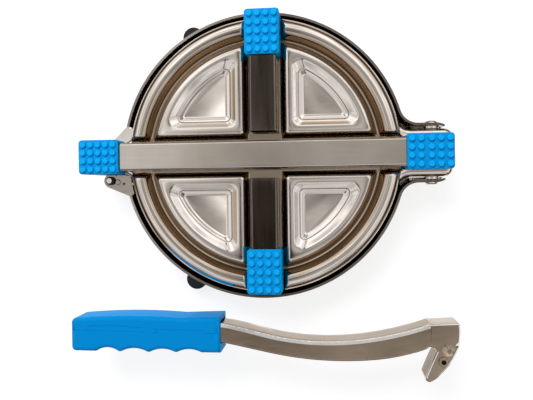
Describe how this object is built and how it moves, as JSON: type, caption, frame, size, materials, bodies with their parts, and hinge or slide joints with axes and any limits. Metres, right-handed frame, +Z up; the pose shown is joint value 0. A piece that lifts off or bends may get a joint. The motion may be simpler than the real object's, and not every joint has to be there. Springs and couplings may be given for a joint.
{
  "type": "puri press",
  "caption": "Hinged round stainless press for flattening dough, on blue studded rubber feet, with a swing latch and a loose lever handle lying beside it.",
  "frame": {"origin": "on the table plane, under the crossing of the two lines of tube", "axes": "+Z up, +X towards the hinge, -X towards the finger tab, +Y towards the side where the loose handle lies"},
  "size_m": [0.2517, 0.2409, 0.0479],
  "materials": {
    "polished_sheet": "polished stainless sheet",
    "polished_tube": "polished stainless tube",
    "blue_rubber": "moulded matte rubber",
    "black_rubber": "moulded matte rubber",
    "blue_plastic": "moulded satin plastic",
    "bright_pin": "turned bright steel"
  },
  "bodies": {
    "base": {"base_shell": "polished_sheet", "base_press_disc": "polished_sheet", "long_tube": "polished_tube", "short_tube_left": "polished_tube", "short_tube_right": "polished_tube", "foot_cap_front": "blue_rubber", "foot_cap_back": "blue_rubber", "foot_cap_left": "blue_rubber", "foot_cap_right": "blue_rubber", "hinge_pin": "bright_pin", "hinge_washers": "bright_pin", "lever_catch": "polished_sheet", "catch_pin": "bright_pin"},
    "lid": {"lid_shell": "polished_sheet", "lid_press_disc": "polished_sheet", "lid_core_ring": "polished_sheet", "latch_post": "bright_pin", "latch_washer": "black_rubber", "bumper_strap_left": "polished_sheet", "bumper_strap_right": "polished_sheet", "lid_bumper_left": "black_rubber", "lid_bumper_right": "black_rubber", "strap_rivets": "bright_pin", "stop_peg": "bright_pin"},
    "latch": {"latch_plate": "polished_sheet"},
    "handle": {"lever_channel": "polished_sheet", "lever_grip": "blue_plastic", "lever_spacer": "bright_pin", "lever_screw": "bright_pin", "lever_nut": "bright_pin"}
  },
  "joints": [
    {"name": "lid_hinge", "type": "hinge", "parent": "base", "child": "lid", "pos_m": [0.109, 0, 0.024], "axis": [0, 1, 0], "range_deg": [0, 180]},
    {"name": "latch_swivel", "type": "hinge", "parent": "lid", "child": "latch", "pos_m": [-0.1063, 0.0155, 0.0179], "axis": [0, 0, 1], "range_deg": [0, 70]},
    {"name": "handle_lift", "type": "slide", "parent": "base", "child": "handle", "axis": [0, 0, 1], "range_m": [0, 0.12]}
  ]
}
